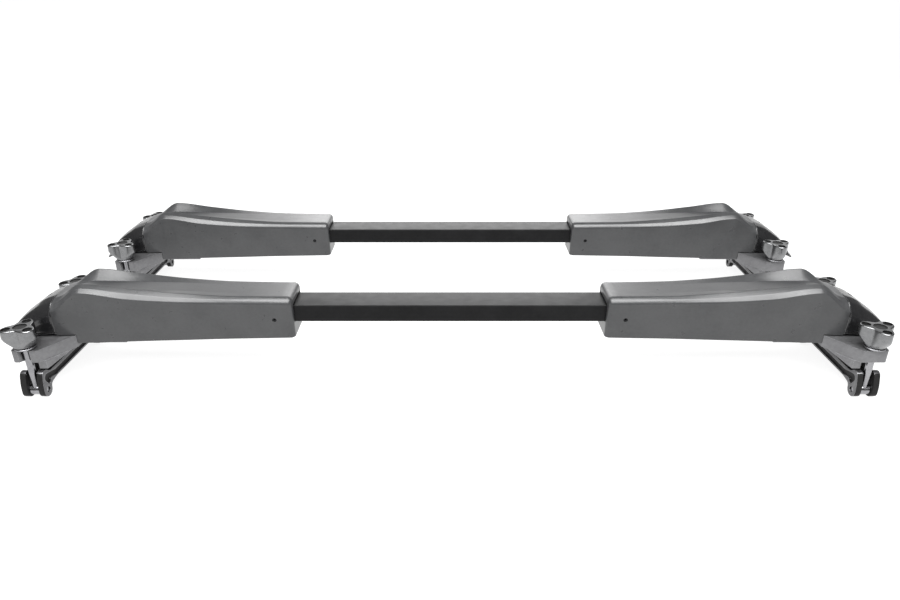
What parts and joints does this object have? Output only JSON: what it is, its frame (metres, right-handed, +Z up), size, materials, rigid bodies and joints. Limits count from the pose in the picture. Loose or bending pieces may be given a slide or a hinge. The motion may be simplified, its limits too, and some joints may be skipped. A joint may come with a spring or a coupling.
{
  "type": "roof rack",
  "caption": "Roof crossbars with raised, crested moulded shells; each foot grips a roof rail with a bowed jaw that threaded rods and lobed hand knobs draw up.",
  "frame": {"origin": "centre of the rack's footprint, on the floor that the legs of the jaws stand on", "axes": "+X along the crossbars, to the right seen from the front bar's side; +Y from the front bar to the rear bar; +Z up"},
  "size_m": [1.244, 0.523, 0.147],
  "materials": {
    "bar_coat": "black powder coat, satin",
    "inner_plastic": "plain moulded",
    "shell_plastic": "fine-grained moulded dark grey",
    "cover_plastic": "smooth semi-gloss black",
    "lock_metal": "polished key barrel",
    "foot_casting": "cast, with a dark grey satin coat",
    "screw_steel": "black oxide",
    "pad_rubber": "matt rubber",
    "jaw_casting": "cast, with a black satin coat",
    "rod_chrome": "bright plated steel",
    "washer_steel": "zinc plated",
    "knob_metal": "satin silver die casting with black pockets"
  },
  "bodies": {
    "front_bar": {"front_crossbar": "bar_coat", "front_end_plugs": "inner_plastic"},
    "rear_bar": {"rear_crossbar": "bar_coat", "rear_end_plugs": "inner_plastic"},
    "front_right_foot": {"front_right_shell": "shell_plastic", "front_right_foot": "foot_casting", "front_right_set_screws": "screw_steel", "front_right_rail_pad": "pad_rubber"},
    "front_right_cover": {"front_right_cover": "cover_plastic"},
    "front_right_lock": {"front_right_lock": "lock_metal"},
    "front_right_jaw": {"front_right_jaw": "jaw_casting", "front_right_jaw_pad": "pad_rubber", "front_right_fore_rod": "rod_chrome"},
    "front_right_aft_rod": {"front_right_aft_rod": "rod_chrome"},
    "front_right_fore_washer": {"front_right_fore_washer": "washer_steel"},
    "front_right_fore_knob": {"front_right_fore_knob": "knob_metal"},
    "front_right_aft_washer": {"front_right_aft_washer": "washer_steel"},
    "front_right_aft_knob": {"front_right_aft_knob": "knob_metal"},
    "front_left_foot": {"front_left_shell": "shell_plastic", "front_left_foot": "foot_casting", "front_left_set_screws": "screw_steel", "front_left_rail_pad": "pad_rubber"},
    "front_left_cover": {"front_left_cover": "cover_plastic"},
    "front_left_lock": {"front_left_lock": "lock_metal"},
    "front_left_jaw": {"front_left_jaw": "jaw_casting", "front_left_jaw_pad": "pad_rubber", "front_left_aft_rod": "rod_chrome"},
    "front_left_fore_rod": {"front_left_fore_rod": "rod_chrome"},
    "front_left_fore_washer": {"front_left_fore_washer": "washer_steel"},
    "front_left_fore_knob": {"front_left_fore_knob": "knob_metal"},
    "front_left_aft_washer": {"front_left_aft_washer": "washer_steel"},
    "front_left_aft_knob": {"front_left_aft_knob": "knob_metal"},
    "rear_right_foot": {"rear_right_shell": "shell_plastic", "rear_right_foot": "foot_casting", "rear_right_set_screws": "screw_steel", "rear_right_rail_pad": "pad_rubber"},
    "rear_right_cover": {"rear_right_cover": "cover_plastic"},
    "rear_right_lock": {"rear_right_lock": "lock_metal"},
    "rear_right_jaw": {"rear_right_jaw": "jaw_casting", "rear_right_jaw_pad": "pad_rubber", "rear_right_fore_rod": "rod_chrome"},
    "rear_right_aft_rod": {"rear_right_aft_rod": "rod_chrome"},
    "rear_right_fore_washer": {"rear_right_fore_washer": "washer_steel"},
    "rear_right_fore_knob": {"rear_right_fore_knob": "knob_metal"},
    "rear_right_aft_washer": {"rear_right_aft_washer": "washer_steel"},
    "rear_right_aft_knob": {"rear_right_aft_knob": "knob_metal"},
    "rear_left_foot": {"rear_left_shell": "shell_plastic", "rear_left_foot": "foot_casting", "rear_left_set_screws": "screw_steel", "rear_left_rail_pad": "pad_rubber"},
    "rear_left_cover": {"rear_left_cover": "cover_plastic"},
    "rear_left_lock": {"rear_left_lock": "lock_metal"},
    "rear_left_jaw": {"rear_left_jaw": "jaw_casting", "rear_left_jaw_pad": "pad_rubber", "rear_left_aft_rod": "rod_chrome"},
    "rear_left_fore_rod": {"rear_left_fore_rod": "rod_chrome"},
    "rear_left_fore_washer": {"rear_left_fore_washer": "washer_steel"},
    "rear_left_fore_knob": {"rear_left_fore_knob": "knob_metal"},
    "rear_left_aft_washer": {"rear_left_aft_washer": "washer_steel"},
    "rear_left_aft_knob": {"rear_left_aft_knob": "knob_metal"}
  },
  "joints": [
    {"name": "bar_spacing", "type": "slide", "parent": "front_bar", "child": "rear_bar", "axis": [0, 1, 0], "range_m": [-0.1, 0.5]},
    {"name": "front_right_foot_slide", "type": "slide", "parent": "front_bar", "child": "front_right_foot", "axis": [1, 0, 0], "range_m": [-0.025, 0.025]},
    {"name": "front_right_cover_slide", "type": "slide", "parent": "front_right_foot", "child": "front_right_cover", "axis": [1, 0, 0], "range_m": [0, 0.08]},
    {"name": "front_right_lock_turn", "type": "hinge", "parent": "front_right_cover", "child": "front_right_lock", "pos_m": [0.567, -0.16, 0.1142], "axis": [0.5446, 0, 0.8387], "range_deg": [0, 90]},
    {"name": "front_right_jaw_drop", "type": "slide", "parent": "front_right_foot", "child": "front_right_jaw", "axis": [0, 0, -1], "range_m": [0, 0.012]},
    {"name": "front_right_aft_rod_swing", "type": "hinge", "parent": "front_right_jaw", "child": "front_right_aft_rod", "pos_m": [0.57, -0.083, 0.0097], "axis": [-1, 0, 0], "range_deg": [0, 90]},
    {"name": "front_right_fore_washer_rise", "type": "slide", "parent": "front_right_jaw", "child": "front_right_fore_washer", "axis": [0, 0, 1], "range_m": [0, 0.01201]},
    {"name": "front_right_fore_knob_turn", "type": "hinge", "parent": "front_right_fore_washer", "child": "front_right_fore_knob", "pos_m": [0.57, -0.237, 0.092], "axis": [0, 0, 1], "range_deg": [0, 2880.5]},
    {"name": "front_right_aft_washer_rise", "type": "slide", "parent": "front_right_aft_rod", "child": "front_right_aft_washer", "axis": [0, 0, 1], "range_m": [0, 0.01201]},
    {"name": "front_right_aft_knob_turn", "type": "hinge", "parent": "front_right_aft_washer", "child": "front_right_aft_knob", "pos_m": [0.57, -0.083, 0.092], "axis": [0, 0, 1], "range_deg": [0, 2880.5]},
    {"name": "front_left_foot_slide", "type": "slide", "parent": "front_bar", "child": "front_left_foot", "axis": [-1, 0, 0], "range_m": [-0.025, 0.025]},
    {"name": "front_left_cover_slide", "type": "slide", "parent": "front_left_foot", "child": "front_left_cover", "axis": [-1, 0, 0], "range_m": [0, 0.08]},
    {"name": "front_left_lock_turn", "type": "hinge", "parent": "front_left_cover", "child": "front_left_lock", "pos_m": [-0.567, -0.16, 0.1142], "axis": [-0.5446, 0, 0.8387], "range_deg": [0, 90]},
    {"name": "front_left_jaw_drop", "type": "slide", "parent": "front_left_foot", "child": "front_left_jaw", "axis": [0, 0, -1], "range_m": [0, 0.012]},
    {"name": "front_left_fore_rod_swing", "type": "hinge", "parent": "front_left_jaw", "child": "front_left_fore_rod", "pos_m": [-0.57, -0.237, 0.0097], "axis": [1, 0, 0], "range_deg": [0, 90]},
    {"name": "front_left_fore_washer_rise", "type": "slide", "parent": "front_left_fore_rod", "child": "front_left_fore_washer", "axis": [0, 0, 1], "range_m": [0, 0.01201]},
    {"name": "front_left_fore_knob_turn", "type": "hinge", "parent": "front_left_fore_washer", "child": "front_left_fore_knob", "pos_m": [-0.57, -0.237, 0.092], "axis": [0, 0, 1], "range_deg": [0, 2880.5]},
    {"name": "front_left_aft_washer_rise", "type": "slide", "parent": "front_left_jaw", "child": "front_left_aft_washer", "axis": [0, 0, 1], "range_m": [0, 0.01201]},
    {"name": "front_left_aft_knob_turn", "type": "hinge", "parent": "front_left_aft_washer", "child": "front_left_aft_knob", "pos_m": [-0.57, -0.083, 0.092], "axis": [0, 0, 1], "range_deg": [0, 2880.5]},
    {"name": "rear_right_foot_slide", "type": "slide", "parent": "rear_bar", "child": "rear_right_foot", "axis": [1, 0, 0], "range_m": [-0.025, 0.025]},
    {"name": "rear_right_cover_slide", "type": "slide", "parent": "rear_right_foot", "child": "rear_right_cover", "axis": [1, 0, 0], "range_m": [0, 0.08]},
    {"name": "rear_right_lock_turn", "type": "hinge", "parent": "rear_right_cover", "child": "rear_right_lock", "pos_m": [0.567, 0.16, 0.1142], "axis": [0.5446, 0, 0.8387], "range_deg": [0, 90]},
    {"name": "rear_right_jaw_drop", "type": "slide", "parent": "rear_right_foot", "child": "rear_right_jaw", "axis": [0, 0, -1], "range_m": [0, 0.012]},
    {"name": "rear_right_aft_rod_swing", "type": "hinge", "parent": "rear_right_jaw", "child": "rear_right_aft_rod", "pos_m": [0.57, 0.237, 0.0097], "axis": [-1, 0, 0], "range_deg": [0, 90]},
    {"name": "rear_right_fore_washer_rise", "type": "slide", "parent": "rear_right_jaw", "child": "rear_right_fore_washer", "axis": [0, 0, 1], "range_m": [0, 0.01201]},
    {"name": "rear_right_fore_knob_turn", "type": "hinge", "parent": "rear_right_fore_washer", "child": "rear_right_fore_knob", "pos_m": [0.57, 0.083, 0.092], "axis": [0, 0, 1], "range_deg": [0, 2880.5]},
    {"name": "rear_right_aft_washer_rise", "type": "slide", "parent": "rear_right_aft_rod", "child": "rear_right_aft_washer", "axis": [0, 0, 1], "range_m": [0, 0.01201]},
    {"name": "rear_right_aft_knob_turn", "type": "hinge", "parent": "rear_right_aft_washer", "child": "rear_right_aft_knob", "pos_m": [0.57, 0.237, 0.092], "axis": [0, 0, 1], "range_deg": [0, 2880.5]},
    {"name": "rear_left_foot_slide", "type": "slide", "parent": "rear_bar", "child": "rear_left_foot", "axis": [-1, 0, 0], "range_m": [-0.025, 0.025]},
    {"name": "rear_left_cover_slide", "type": "slide", "parent": "rear_left_foot", "child": "rear_left_cover", "axis": [-1, 0, 0], "range_m": [0, 0.08]},
    {"name": "rear_left_lock_turn", "type": "hinge", "parent": "rear_left_cover", "child": "rear_left_lock", "pos_m": [-0.567, 0.16, 0.1142], "axis": [-0.5446, 0, 0.8387], "range_deg": [0, 90]},
    {"name": "rear_left_jaw_drop", "type": "slide", "parent": "rear_left_foot", "child": "rear_left_jaw", "axis": [0, 0, -1], "range_m": [0, 0.012]},
    {"name": "rear_left_fore_rod_swing", "type": "hinge", "parent": "rear_left_jaw", "child": "rear_left_fore_rod", "pos_m": [-0.57, 0.083, 0.0097], "axis": [1, 0, 0], "range_deg": [0, 90]},
    {"name": "rear_left_fore_washer_rise", "type": "slide", "parent": "rear_left_fore_rod", "child": "rear_left_fore_washer", "axis": [0, 0, 1], "range_m": [0, 0.01201]},
    {"name": "rear_left_fore_knob_turn", "type": "hinge", "parent": "rear_left_fore_washer", "child": "rear_left_fore_knob", "pos_m": [-0.57, 0.083, 0.092], "axis": [0, 0, 1], "range_deg": [0, 2880.5]},
    {"name": "rear_left_aft_washer_rise", "type": "slide", "parent": "rear_left_jaw", "child": "rear_left_aft_washer", "axis": [0, 0, 1], "range_m": [0, 0.01201]},
    {"name": "rear_left_aft_knob_turn", "type": "hinge", "parent": "rear_left_aft_washer", "child": "rear_left_aft_knob", "pos_m": [-0.57, 0.237, 0.092], "axis": [0, 0, 1], "range_deg": [0, 2880.5]}
  ],
  "couplings": [
    {"joint": "front_right_fore_washer_rise", "follows": "front_right_jaw_drop", "ratio": 1},
    {"joint": "front_right_fore_knob_turn", "follows": "front_right_jaw_drop", "rad_per_m": 4188.8},
    {"joint": "front_right_aft_washer_rise", "follows": "front_right_jaw_drop", "ratio": 1},
    {"joint": "front_right_aft_knob_turn", "follows": "front_right_jaw_drop", "rad_per_m": 4188.8},
    {"joint": "front_left_fore_washer_rise", "follows": "front_left_jaw_drop", "ratio": 1},
    {"joint": "front_left_fore_knob_turn", "follows": "front_left_jaw_drop", "rad_per_m": 4188.8},
    {"joint": "front_left_aft_washer_rise", "follows": "front_left_jaw_drop", "ratio": 1},
    {"joint": "front_left_aft_knob_turn", "follows": "front_left_jaw_drop", "rad_per_m": 4188.8},
    {"joint": "rear_right_fore_washer_rise", "follows": "rear_right_jaw_drop", "ratio": 1},
    {"joint": "rear_right_fore_knob_turn", "follows": "rear_right_jaw_drop", "rad_per_m": 4188.8},
    {"joint": "rear_right_aft_washer_rise", "follows": "rear_right_jaw_drop", "ratio": 1},
    {"joint": "rear_right_aft_knob_turn", "follows": "rear_right_jaw_drop", "rad_per_m": 4188.8},
    {"joint": "rear_left_fore_washer_rise", "follows": "rear_left_jaw_drop", "ratio": 1},
    {"joint": "rear_left_fore_knob_turn", "follows": "rear_left_jaw_drop", "rad_per_m": 4188.8},
    {"joint": "rear_left_aft_washer_rise", "follows": "rear_left_jaw_drop", "ratio": 1},
    {"joint": "rear_left_aft_knob_turn", "follows": "rear_left_jaw_drop", "rad_per_m": 4188.8}
  ]
}
